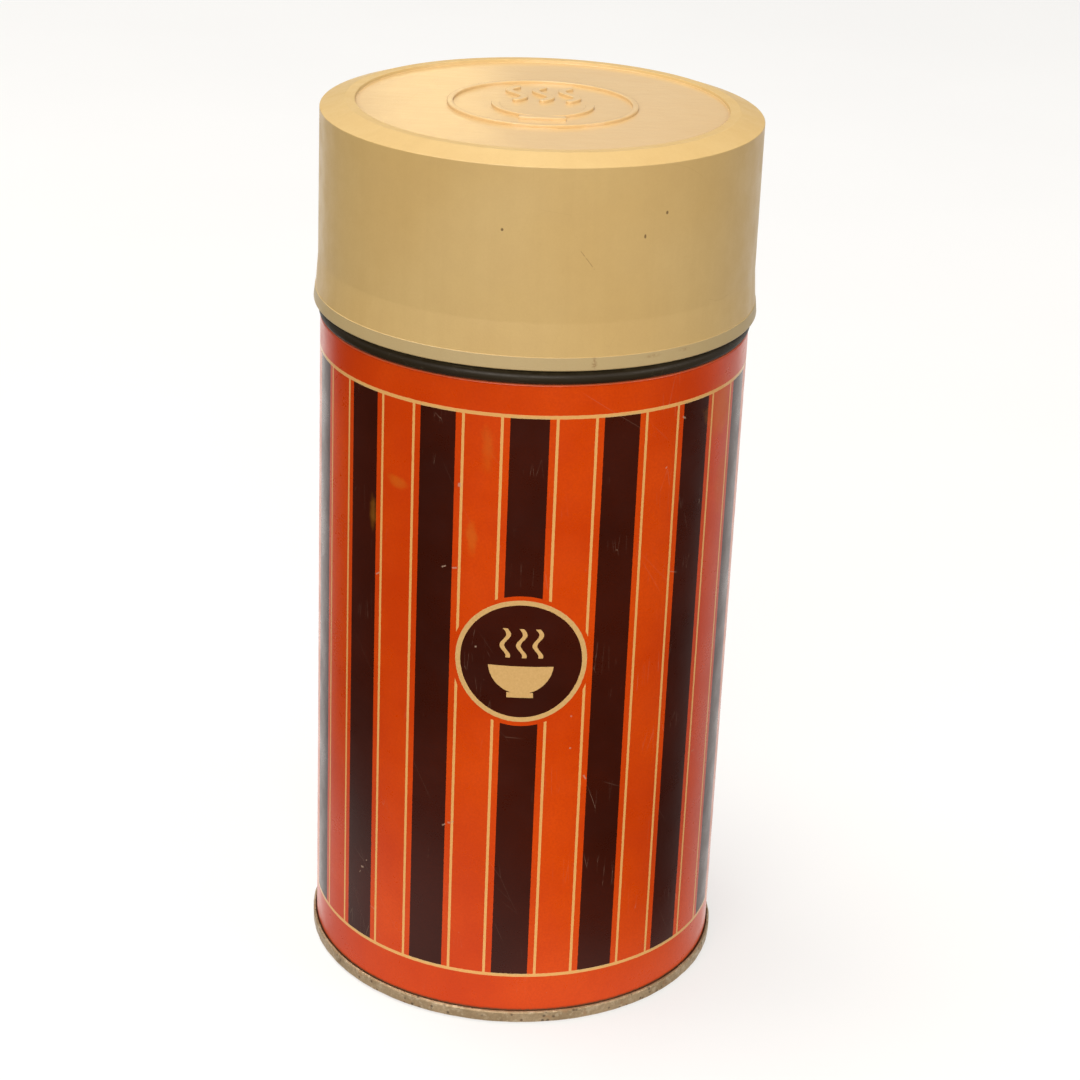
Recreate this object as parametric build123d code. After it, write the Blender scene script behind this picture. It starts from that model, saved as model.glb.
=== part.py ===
from build123d import *
import math
import os

# Wide-mouth vacuum food flask with a screw-on cup lid.
# Frame: millimetres, +Z up, origin at the centre of the base on the floor, front faces -Y.
# Pieces are turned about Z; the threads, finger bar, scallops, lock seam, cushion notches,
# glass spacers and the motif on the cup are the exceptions.
# Names ending in _R are radii, _Z heights above the floor, _T wall thicknesses.

# ---------------------------------------------------------------- driving dimensions
SEAT_GAP = 0.05           # clearance between stacked pieces

CASE_R = 42.75            # outside of the steel jacket
CASE_T = 0.40
CASE_INNER_R = CASE_R - CASE_T
CASE_TOP_Z = 138.85       # top of the rolled-in jacket edge

RIM_R = 43.50             # outside of the double-seamed rim
RIM_TOP_Z = 2.60
PANEL_Z = 3.20            # upper face of the recessed steel panel
PANEL_T = 0.30

GLASS_T = 1.50
FOOD_R = 30.50            # inside of the food vessel
FOOD_OUTER_R = FOOD_R + GLASS_T
FOOD_FLOOR_Z = 17.00      # inside floor of the food vessel
MOUTH_R = 28.50
JACKET_R = 37.00          # outside of the outer glass
JACKET_INNER_R = JACKET_R - GLASS_T
JACKET_BOTTOM_Z = 10.00
JACKET_CORNER = 16.0      # rounded bottom corner of the outer glass
GLASS_NECK_R = 33.00
GLASS_TOP_Z = 132.95

FLANGE_R = 43.05          # collar flange
FLANGE_BOTTOM_Z = CASE_TOP_Z + SEAT_GAP
FLANGE_TOP_Z = 141.25
NECK_R = 38.20            # thread root of the neck
NECK_CREST_R = 39.70
NECK_TOP_Z = 155.50
BORE_R = 35.00            # thread root of the neck's bore
BORE_CREST_R = 33.80
LEDGE_R = 30.50           # inner ledge that carries the gasket
LEDGE_BOTTOM_Z = 135.00
LEDGE_TOP_Z = 137.00
REST_Z = NECK_TOP_Z + SEAT_GAP   # underside of whatever rests on the neck

# Both threads are single start and right hand; root_half is half a ridge's width at its root.
CUP_THREAD = dict(pitch=6.00, start_angle=0.0, root_half=1.30)
NECK_THREAD_Z = 146.60    # centre height of the neck ridge where it starts
STOPPER_THREAD = dict(pitch=6.30, start_angle=20.0, root_half=1.15)
BORE_THREAD_Z = 144.60
THREAD_DROP = 1.75        # a mating ridge starts this far under its partner

GASKET_BOTTOM_Z = LEDGE_TOP_Z + SEAT_GAP
GASKET_TOP_Z = 139.00
PLUG_BOTTOM_Z = GASKET_TOP_Z + SEAT_GAP
PLUG_R = 33.40            # thread root of the stopper
PLUG_CREST_R = 34.70
PLUG_BORE_R = PLUG_R - 2.20      # the wall is 2.2 thick
PLUG_CEILING_Z = 145.00   # top of the hollow under the stopper
PLATE_TOP_Z = 140.25
STOPPER_FLANGE_R = 36.60
STOPPER_TOP_Z = 157.60

CUP_INNER_R = 40.60
CUP_CREST_R = 38.90
CUP_CEILING_Z = 179.00
CUP_TOP_Z = 181.80
CUP_DISC_Z = CUP_TOP_Z - 0.60    # recessed top disc

os.makedirs("parts", exist_ok=True)


# ---------------------------------------------------------------- helpers
def line(start, end):
    """Straight edge between two (r, z) points."""
    return Line((start[0], 0, start[1]), (end[0], 0, end[1]))


def arc(start, middle, end):
    """Circular edge through three (r, z) points."""
    return ThreePointArc(*[(r, 0, z) for r, z in (start, middle, end)])


def step(point, direction, distance):
    return (point[0] + direction[0] * distance, point[1] + direction[1] * distance)


def unit(start, end):
    """Unit vector from start to end."""
    length = math.dist(start, end)
    return ((end[0] - start[0]) / length, (end[1] - start[1]) / length)


def profile(points):
    """Face inside a closed outline of (r, z) or (r, z, corner radius) points."""
    corners = []          # where each corner starts, its arc's midpoint or None, where it ends
    for i, (r, z, *radius) in enumerate(points):
        point = (r, z)
        if not radius:
            corners.append((point, None, point))
            continue
        back = unit(point, points[i - 1][:2])
        ahead = unit(point, points[(i + 1) % len(points)][:2])
        cosine = back[0] * ahead[0] + back[1] * ahead[1]
        half_angle = math.acos(max(-1.0, min(1.0, cosine))) / 2
        setback = radius[0] / math.tan(half_angle)
        inward = unit((0, 0), (back[0] + ahead[0], back[1] + ahead[1]))
        middle = step(point, inward, radius[0] / math.sin(half_angle) - radius[0])
        corners.append((step(point, back, setback), middle, step(point, ahead, setback)))
    edges = []
    for i, (start, middle, end) in enumerate(corners):
        if middle is not None:
            edges.append(arc(start, middle, end))
        following = corners[(i + 1) % len(corners)][0]
        if math.dist(end, following) > 1e-6:
            edges.append(line(end, following))
    return Face(Wire(edges))


def turned(points):
    return Solid.revolve(profile(points), 360, Axis.Z)


def annulus(inner, outer, bottom, top):
    return turned([(inner, bottom), (outer, bottom), (outer, top), (inner, top)])


def rod(radius, bottom, top, x=0.0, y=0.0):
    cylinder = Cylinder(radius, top - bottom, align=(Align.CENTER, Align.CENTER, Align.MIN))
    return Pos(x, y, bottom) * cylinder


def cut_ring(body, count, first_angle, ring_radius, radius, bottom, top):
    """Cut a ring of evenly spaced upright rods from body."""
    for k in range(count):
        angle = math.radians(360 / count * k + first_angle)
        x, y = ring_radius * math.cos(angle), ring_radius * math.sin(angle)
        body = body - rod(radius, bottom, top, x, y)
    return body


def ridge(root, crest, start_z, turns, pitch, start_angle, root_half):
    """Helical thread ridge of trapezium section, its foot sunk into the wall."""
    crest_half = 0.45
    embed = 0.35
    outward = 1.0 if crest > root else -1.0
    foot = root - outward * embed
    foot_half = root_half + (root_half - crest_half) / abs(crest - root) * embed
    section = profile([
        (foot, -foot_half), (crest, -crest_half), (crest, crest_half), (foot, foot_half),
    ])
    path = Wire([Helix(pitch=pitch, height=pitch * turns, radius=root)])
    swept = Solid.sweep(section, path=path, is_frenet=True)
    return Pos(0, 0, start_z) * (Rot(0, 0, start_angle) * swept)


# ---------------------------------------------------------------- steel jacket
def case_tube():
    """Thin tube, top edge turned inward, bottom edge turned out, lock seam at the back."""
    tube = turned([
        (CASE_INNER_R, CASE_TOP_Z - CASE_T), (41.30, CASE_TOP_Z - CASE_T),
        (41.30, CASE_TOP_Z), (CASE_R, CASE_TOP_Z, 0.35),
        (CASE_R, 0.95, 0.10), (43.10, 0.95), (43.10, 0.45), (CASE_INNER_R, 0.45, 0.25),
    ])
    seam_z, seam_length = 71.0, 134.6
    # The seam stands proud inside and outside, with a shallow groove along its +X edge.
    strip = Pos(0, CASE_R, seam_z) * Box(3.4, 3.0, seam_length)
    seam = annulus(CASE_INNER_R - 0.45, CASE_R + 0.25, 3.6, 138.3) & strip
    groove = Pos(2.05, CASE_R + 0.15, seam_z) * Box(0.5, 0.7, seam_length)
    tube = tube + seam
    return tube - groove


# ---------------------------------------------------------------- base end
def base_cap():
    """Skirt round the jacket's bottom edge, chuck wall, recessed panel with two beads."""
    under = PANEL_Z - PANEL_T
    inner_bead, outer_bead = 0.6, 0.9    # depths
    return turned([
        # underside, from the centre out
        (0, under), (12.0, under, 0.4),
        (12.6, under - inner_bead, 0.3), (17.4, under - inner_bead, 0.3),
        (18.0, under, 0.4), (31.0, under, 0.4),
        (31.7, under - outer_bead, 0.4), (36.3, under - outer_bead, 0.4),
        (37.0, under, 0.4), (41.45, under, 0.35),
        # rim, outside then inside
        (41.60, 0.0, 0.5), (RIM_R, 0.0, 0.55), (RIM_R, RIM_TOP_Z, 0.45),
        (42.85, RIM_TOP_Z, 0.12), (43.15, 2.10, 0.2), (43.20, 0.35, 0.15),
        (41.95, 0.35, 0.15), (41.80, PANEL_Z, 0.3),
        # upper face, back to the centre
        (37.3, PANEL_Z, 0.4),
        (36.6, PANEL_Z - outer_bead, 0.4), (31.4, PANEL_Z - outer_bead, 0.4),
        (30.7, PANEL_Z, 0.4), (18.3, PANEL_Z, 0.4),
        (17.7, PANEL_Z - inner_bead, 0.3), (12.3, PANEL_Z - inner_bead, 0.3),
        (11.7, PANEL_Z, 0.4), (0, PANEL_Z),
    ])


def base_cushion():
    """Rubber cushion that cradles the glass, its rim notched all round."""
    outer, inner, top = 40.50, 8.0, 20.00
    gap = 0.10                           # clearance under the glass
    floor = PANEL_Z + SEAT_GAP
    seat = JACKET_BOTTOM_Z - gap
    # The hollow follows the glass's rounded corner up to the cushion's top.
    centre_r = JACKET_R - JACKET_CORNER
    centre_z = JACKET_BOTTOM_Z + JACKET_CORNER
    radius = JACKET_CORNER + gap
    sweep_angle = math.acos((centre_z - top) / radius)
    arc_end = (centre_r + radius * math.sin(sweep_angle), top)
    arc_middle = (
        centre_r + radius * math.sin(sweep_angle / 2),
        centre_z - radius * math.cos(sweep_angle / 2),
    )
    section = Face(Wire([
        line((inner, floor), (outer, floor)),
        line((outer, floor), (outer, top)),
        line((outer, top), arc_end),
        arc(arc_end, arc_middle, (centre_r, seat)),
        line((centre_r, seat), (inner, seat)),
        line((inner, seat), (inner, floor)),
    ]))
    cushion = Solid.revolve(section, 360, Axis.Z)
    return cut_ring(cushion, count=8, first_angle=22.5, ring_radius=39.9,
                    radius=2.0, bottom=top - 7, top=top + 3)


# ---------------------------------------------------------------- double-wall glass
def outer_glass():
    """Outer wall, with a small tip under the centre of its floor."""
    neck_inner = GLASS_NECK_R - GLASS_T
    neck_top = 131.40
    floor = JACKET_BOTTOM_Z + GLASS_T
    return turned([
        (0, 5.60), (1.30, 6.00, 0.4), (2.40, JACKET_BOTTOM_Z, 0.8),
        (JACKET_R, JACKET_BOTTOM_Z, JACKET_CORNER), (JACKET_R, 117.5, 6.0),
        (GLASS_NECK_R, 125.0, 5.0), (GLASS_NECK_R, neck_top),
        (neck_inner, neck_top), (neck_inner, 124.6, 4.0), (JACKET_INNER_R, 117.1, 5.0),
        (JACKET_INNER_R, floor, JACKET_CORNER - GLASS_T), (0, floor),
    ])


def inner_glass():
    """Food vessel, with a rounded lip that covers the outer wall's neck."""
    mouth_outer = MOUTH_R + GLASS_T
    lip_bottom = 131.42
    corner = 11.0
    underside = FOOD_FLOOR_Z - GLASS_T
    return turned([
        (0, FOOD_FLOOR_Z), (FOOD_R, FOOD_FLOOR_Z, corner), (FOOD_R, 117.8, 5.0),
        (MOUTH_R, 124.6, 5.0), (MOUTH_R, GLASS_TOP_Z, 1.4),
        (GLASS_NECK_R, GLASS_TOP_Z, 1.4), (GLASS_NECK_R, lip_bottom),
        (mouth_outer, lip_bottom), (mouth_outer, 125.0, 4.0), (FOOD_OUTER_R, 118.2, 4.0),
        (FOOD_OUTER_R, underside, corner + GLASS_T), (0, underside),
    ])


def glass_spacers():
    """Three round pads in the vacuum gap, faced to the two glass walls."""
    gap = 0.03

    def spacer(angle):
        pad = Rot(0, 0, angle) * (Pos(33.7, 0, 34.0) * (Rot(0, 90, 0) * Cylinder(4.0, 6.0)))
        return pad & annulus(FOOD_OUTER_R + gap, JACKET_INNER_R - gap, 25.0, 45.0)

    return spacer(90) + spacer(210) + spacer(330)


def filler_seal():
    """Rubber ring between the glass lip and the collar's ledge."""
    inner, outer = 29.2, 33.9
    bottom, top = GLASS_TOP_Z + SEAT_GAP, LEDGE_BOTTOM_Z - 0.03
    return turned([
        (inner, bottom, 0.3), (outer, bottom, 0.3), (outer, top, 0.3), (inner, top, 0.5),
    ])


# ---------------------------------------------------------------- collar
def neck_collar():
    """Flange over the jacket edge, two skirts below it and a neck threaded on both faces."""
    collar = turned([
        # ledge and inner skirt, round the glass neck
        (LEDGE_R, LEDGE_BOTTOM_Z, 0.4), (34.15, LEDGE_BOTTOM_Z), (34.15, 127.6, 0.3),
        (36.30, 127.6, 0.5), (36.30, 137.9, 1.0),
        # outer skirt, inside the jacket
        (38.90, 137.9, 1.0), (38.90, 130.0, 0.3), (41.15, 130.0, 0.6),
        # flange
        (41.15, FLANGE_BOTTOM_Z), (FLANGE_R, FLANGE_BOTTOM_Z, 0.9),
        (FLANGE_R, FLANGE_TOP_Z, 1.1),
        # neck and bore
        (NECK_R, FLANGE_TOP_Z, 0.8), (NECK_R, NECK_TOP_Z, 0.8), (BORE_R, NECK_TOP_Z, 0.6),
        (BORE_R, LEDGE_TOP_Z, 0.5), (LEDGE_R, LEDGE_TOP_Z, 0.4),
    ])
    neck_ridge = ridge(NECK_R, NECK_CREST_R, NECK_THREAD_Z, turns=1.10, **CUP_THREAD)
    bore_ridge = ridge(BORE_R, BORE_CREST_R, BORE_THREAD_Z, turns=1.25, **STOPPER_THREAD)
    return collar + neck_ridge + bore_ridge


# ---------------------------------------------------------------- stopper
def stopper_gasket():
    inner, outer = 29.62, 33.10
    return turned([
        (inner, GASKET_BOTTOM_Z, 0.35), (outer, GASKET_BOTTOM_Z, 0.5),
        (outer, GASKET_TOP_Z, 0.5), (inner, GASKET_TOP_Z, 0.35),
    ])


def stopper_body():
    """Threaded plug, hollow below, with a finger bar across the pocket in its top."""
    body = turned([
        (PLUG_BORE_R, PLUG_BOTTOM_Z), (PLUG_R, PLUG_BOTTOM_Z, 0.5), (PLUG_R, REST_Z),
        (STOPPER_FLANGE_R, REST_Z, 0.5), (STOPPER_FLANGE_R, STOPPER_TOP_Z, 0.9),
        (0, STOPPER_TOP_Z), (0, PLUG_CEILING_Z), (PLUG_BORE_R, PLUG_CEILING_Z, 0.8),
    ])
    pocket_floor = 147.50
    bar_width = 9.00
    pocket = rod(28.6, pocket_floor, STOPPER_TOP_Z + 1)
    pocket = pocket - Pos(0, 0, 152.5) * Box(70, bar_width, 20)
    pocket = fillet(pocket.edges().filter_by(Axis.Z), 3.0)
    floor_edges = [e for e in pocket.edges() if abs(e.center().Z - pocket_floor) < 0.01]
    pocket = fillet(floor_edges, 1.5)
    body = body - pocket
    thread_z = BORE_THREAD_Z - THREAD_DROP
    body = body + ridge(PLUG_R, PLUG_CREST_R, thread_z, turns=1.05, **STOPPER_THREAD)
    # Grip scallops round the flange.
    return cut_ring(body, count=36, first_angle=0.0, ring_radius=STOPPER_FLANGE_R + 0.55,
                    radius=1.1, bottom=REST_Z - 0.5, top=STOPPER_TOP_Z + 1)


def stopper_core():
    """Disc that fills the hollow above the plate."""
    radius = PLUG_BORE_R - 0.1
    bottom, top = PLATE_TOP_Z + SEAT_GAP, PLUG_CEILING_Z - SEAT_GAP
    return turned([(0, bottom), (radius, bottom), (radius, top, 0.85), (0, top)])


def stopper_plate():
    """Plate that closes the hollow, its underside raised at the centre."""
    outer, upper_outer = 29.55, PLUG_BORE_R - SEAT_GAP
    bottom = 137.10
    return turned([
        (0, bottom + 1.0), (10.0, bottom + 1.0, 2.0), (13.0, bottom, 2.0),
        (outer, bottom, 0.4), (outer, PLUG_BOTTOM_Z), (upper_outer, PLUG_BOTTOM_Z),
        (upper_outer, PLATE_TOP_Z), (0, PLATE_TOP_Z),
    ])


# ---------------------------------------------------------------- cup
def ribbon(path, width):
    """Closed outline of a stroke along a path, its ends rounded."""
    left, right = [], []
    for i, (x, y) in enumerate(path):
        along = unit(path[max(0, i - 1)], path[min(len(path) - 1, i + 1)])
        left.append((x - along[1] * width / 2, y + along[0] * width / 2))
        right.append((x + along[1] * width / 2, y - along[0] * width / 2))

    def cap(tip, before):
        heading = math.atan2(tip[1] - before[1], tip[0] - before[0])
        angles = [heading - math.pi / 2 + math.pi * k / 6 for k in range(1, 6)]
        return [step(tip, (math.cos(a), math.sin(a)), width / 2) for a in angles]

    return right + cap(path[-1], path[-2]) + left[::-1] + cap(path[0], path[1])


def cup_motif():
    """Raised bowl under three wavy lines of steam, inside a ring."""
    height = 0.55
    sunk = 0.3                           # depth buried in the disc
    relief = Circle(18.6) - Circle(17.4)
    bowl_outer = Circle(10.0) & (Pos(0, -6) * Rectangle(30, 12))
    bowl_inner = Circle(8.3) & (Pos(0, -6.9) * Rectangle(30, 10.6))
    bowl = bowl_outer - bowl_inner
    foot = Pos(0, -11.6) * Rectangle(9.0, 2.0)
    relief = relief + (Pos(0, -1.0) * bowl) + foot
    steps = 24
    for wave_x in (-5.2, 0.0, 5.2):
        wave = [
            (wave_x + 1.5 * math.sin(2 * math.pi * i / steps), 1.8 + 10.4 * i / steps)
            for i in range(steps + 1)
        ]
        relief = relief + make_face(Polyline(*ribbon(wave, 1.5), close=True))
    return extrude(Pos(0, 0, CUP_DISC_Z - sunk) * relief, height + sunk)


def cup_shell():
    """Cup with a lip band, bevelled top edge, flat land and recessed disc."""
    lip_z, band_top, land_r = 142.00, 144.50, 36.35
    shell = turned([
        # inside
        (0, CUP_DISC_Z), (0, CUP_CEILING_Z), (CUP_INNER_R, CUP_CEILING_Z, 1.2),
        (CUP_INNER_R, lip_z, 0.5),
        # lip band and side
        (44.10, lip_z, 0.25), (43.82, band_top, 0.06),
        (43.70, band_top + 0.08, 0.04), (43.25, 151.00, 9.0), (43.15, 180.20, 0.18),
        # bevel, land and disc edge
        (38.34, CUP_TOP_Z, 0.5), (land_r, CUP_TOP_Z, 0.15),
        (land_r - 0.15, CUP_DISC_Z, 0.2),
    ])
    thread_z = NECK_THREAD_Z - THREAD_DROP
    shell = shell + ridge(CUP_INNER_R, CUP_CREST_R, thread_z, turns=1.05, **CUP_THREAD)
    return shell + cup_motif()


def cup_liner():
    """Inner cup wall with an outward foot at its open end."""
    wall, outer, top = 1.20, 38.60, 178.20
    inner = outer - wall
    foot_r = CUP_INNER_R - SEAT_GAP
    foot_top = REST_Z + 1.3
    return turned([
        (0, top), (0, top - wall), (inner, top - wall, 3.0), (inner, REST_Z, 0.2),
        (foot_r, REST_Z, 0.2), (foot_r, foot_top, 0.2), (outer, foot_top, 0.6),
        (outer, top, 4.2),
    ])


# ---------------------------------------------------------------- export
PIECES = (
    case_tube, base_cap, base_cushion, outer_glass, inner_glass, glass_spacers, filler_seal,
    neck_collar, stopper_gasket, stopper_body, stopper_core, stopper_plate,
    cup_shell, cup_liner,
)
for build in PIECES:
    export_step(build(), f"parts/{build.__name__}.step")
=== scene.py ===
import math

import bpy
from mathutils import Matrix, Vector


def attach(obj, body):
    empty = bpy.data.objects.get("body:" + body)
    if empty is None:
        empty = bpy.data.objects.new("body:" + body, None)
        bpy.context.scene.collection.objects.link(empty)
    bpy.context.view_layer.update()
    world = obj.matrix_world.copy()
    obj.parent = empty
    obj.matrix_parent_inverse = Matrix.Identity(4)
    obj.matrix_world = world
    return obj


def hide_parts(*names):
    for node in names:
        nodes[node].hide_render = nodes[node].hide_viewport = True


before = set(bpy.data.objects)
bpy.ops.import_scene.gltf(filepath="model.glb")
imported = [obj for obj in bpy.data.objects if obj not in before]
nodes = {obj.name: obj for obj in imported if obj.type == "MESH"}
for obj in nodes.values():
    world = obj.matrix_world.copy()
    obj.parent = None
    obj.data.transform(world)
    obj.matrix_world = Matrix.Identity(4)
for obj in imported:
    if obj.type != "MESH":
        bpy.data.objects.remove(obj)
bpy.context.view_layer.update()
MM = 0.001


# ------------------------------------------------------------------ shader writing helpers


class V:
    """A value or vector coming out of a node, with arithmetic that adds nodes."""

    def __init__(self, g, sock):
        self.g, self.s = g, sock

    def __add__(self, o): return self.g.m("ADD", self, o)
    def __radd__(self, o): return self.g.m("ADD", o, self)
    def __sub__(self, o): return self.g.m("SUBTRACT", self, o)
    def __rsub__(self, o): return self.g.m("SUBTRACT", o, self)
    def __mul__(self, o): return self.g.m("MULTIPLY", self, o)
    def __rmul__(self, o): return self.g.m("MULTIPLY", o, self)
    def __truediv__(self, o): return self.g.m("DIVIDE", self, o)
    def __neg__(self): return self.g.m("MULTIPLY", self, -1.0)
    def lt(self, o): return self.g.m("LESS_THAN", self, o)
    def gt(self, o): return self.g.m("GREATER_THAN", self, o)
    def abs(self): return self.g.m("ABSOLUTE", self)
    def max(self, o): return self.g.m("MAXIMUM", self, o)
    def min(self, o): return self.g.m("MINIMUM", self, o)
    def floor(self): return self.g.m("FLOOR", self)
    def sqrt(self): return self.g.m("SQRT", self)
    def sin(self): return self.g.m("SINE", self)
    def pow(self, o): return self.g.m("POWER", self, o)


class G:
    """Builds one material's node tree."""

    def __init__(self, name):
        self.mat = bpy.data.materials.get(name) or bpy.data.materials.new(name)
        self.mat.use_nodes = True
        self.nt = self.mat.node_tree
        self.nt.nodes.clear()
        self.out = self.nt.nodes.new("ShaderNodeOutputMaterial")
        self.p = self.nt.nodes.new("ShaderNodeBsdfPrincipled")
        self.nt.links.new(self.p.outputs[0], self.out.inputs[0])
        tc = self.nt.nodes.new("ShaderNodeTexCoord")
        sc = self.nt.nodes.new("ShaderNodeVectorMath")
        sc.operation = "SCALE"
        self.nt.links.new(tc.outputs["Object"], sc.inputs[0])
        sc.inputs["Scale"].default_value = 1000.0
        self.P = V(self, sc.outputs[0])          # millimetres, in the row frame
        sep = self.nt.nodes.new("ShaderNodeSeparateXYZ")
        self.nt.links.new(sc.outputs[0], sep.inputs[0])
        self.x, self.y, self.z = (V(self, sep.outputs[i]) for i in range(3))

    def put(self, sock, v):
        if isinstance(v, V):
            self.nt.links.new(v.s, sock)
        elif isinstance(v, (tuple, list)):
            sock.default_value = tuple(v) + ((1.0,) if len(v) == 3 and len(sock.default_value) == 4 else ())
        else:
            sock.default_value = v

    def m(self, op, a, b=None, c=None, clamp=False):
        n = self.nt.nodes.new("ShaderNodeMath")
        n.operation = op
        n.use_clamp = clamp
        self.put(n.inputs[0], a)
        if b is not None:
            self.put(n.inputs[1], b)
        if c is not None:
            self.put(n.inputs[2], c)
        return V(self, n.outputs[0])

    def vec(self, x, y, z):
        n = self.nt.nodes.new("ShaderNodeCombineXYZ")
        for i, v in enumerate((x, y, z)):
            self.put(n.inputs[i], v)
        return V(self, n.outputs[0])

    def vscale(self, vec, sx, sy, sz):
        n = self.nt.nodes.new("ShaderNodeVectorMath")
        n.operation = "MULTIPLY"
        self.put(n.inputs[0], vec)
        n.inputs[1].default_value = (sx, sy, sz)
        return V(self, n.outputs[0])

    def noise(self, scale=1.0, detail=3.0, rough=0.5, vec=None, distortion=0.0, lo=None, hi=None):
        """Noise whose scale is in cycles per millimetre; lo and hi stretch that range of its output to 0..1."""
        n = self.nt.nodes.new("ShaderNodeTexNoise")
        self.put(n.inputs["Vector"], vec if vec is not None else self.P)
        n.inputs["Scale"].default_value = scale
        n.inputs["Detail"].default_value = detail
        n.inputs["Roughness"].default_value = rough
        n.inputs["Distortion"].default_value = distortion
        v = V(self, n.outputs[0])
        return self.ramp(v, lo, hi) if lo is not None else v

    def voronoi(self, scale=1.0, vec=None, feature="F1", rand=1.0):
        n = self.nt.nodes.new("ShaderNodeTexVoronoi")
        n.feature = feature
        self.put(n.inputs["Vector"], vec if vec is not None else self.P)
        n.inputs["Scale"].default_value = scale
        n.inputs["Randomness"].default_value = rand
        return V(self, n.outputs["Distance"])

    def ramp(self, v, lo, hi, a=0.0, b=1.0, smooth=True):
        n = self.nt.nodes.new("ShaderNodeMapRange")
        n.interpolation_type = "SMOOTHSTEP" if smooth else "LINEAR"
        self.put(n.inputs[0], v)
        for i, k in enumerate((lo, hi, a, b)):
            self.put(n.inputs[i + 1], k)
        return V(self, n.outputs[0])

    def mix(self, fac, a, b, mode="MIX"):
        n = self.nt.nodes.new("ShaderNodeMix")
        n.data_type = "RGBA"
        n.blend_type = mode
        n.clamp_factor = True
        self.put(n.inputs[0], fac)
        self.put(n.inputs[6], a)
        self.put(n.inputs[7], b)
        return V(self, n.outputs[2])

    def bump(self, height, dist_mm, strength=1.0, normal=None):
        n = self.nt.nodes.new("ShaderNodeBump")
        n.inputs["Strength"].default_value = strength
        n.inputs["Distance"].default_value = dist_mm * MM
        self.put(n.inputs["Height"], height)
        if normal is not None:
            self.put(n.inputs["Normal"], normal)
        return V(self, n.outputs[0])

    def set(self, **kw):
        names = {"color": "Base Color", "rough": "Roughness", "metal": "Metallic", "normal": "Normal", "coat": "Coat Weight",
                 "coat_rough": "Coat Roughness", "ior": "IOR", "spec": "Specular IOR Level", "sss": "Subsurface Weight",
                 "trans": "Transmission Weight"}
        for k, v in kw.items():
            self.put(self.p.inputs[names[k]], v)
        return self.mat


def srgb(r, g, b):
    def f(c):
        c /= 255.0
        return c / 12.92 if c <= 0.04045 else ((c + 0.055) / 1.055) ** 2.4
    return (f(r), f(g), f(b), 1.0)


# ------------------------------------------------------------------ materials

JR = 42.75
DEG = math.pi / 180 * JR      # millimetres of jacket per degree


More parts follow.
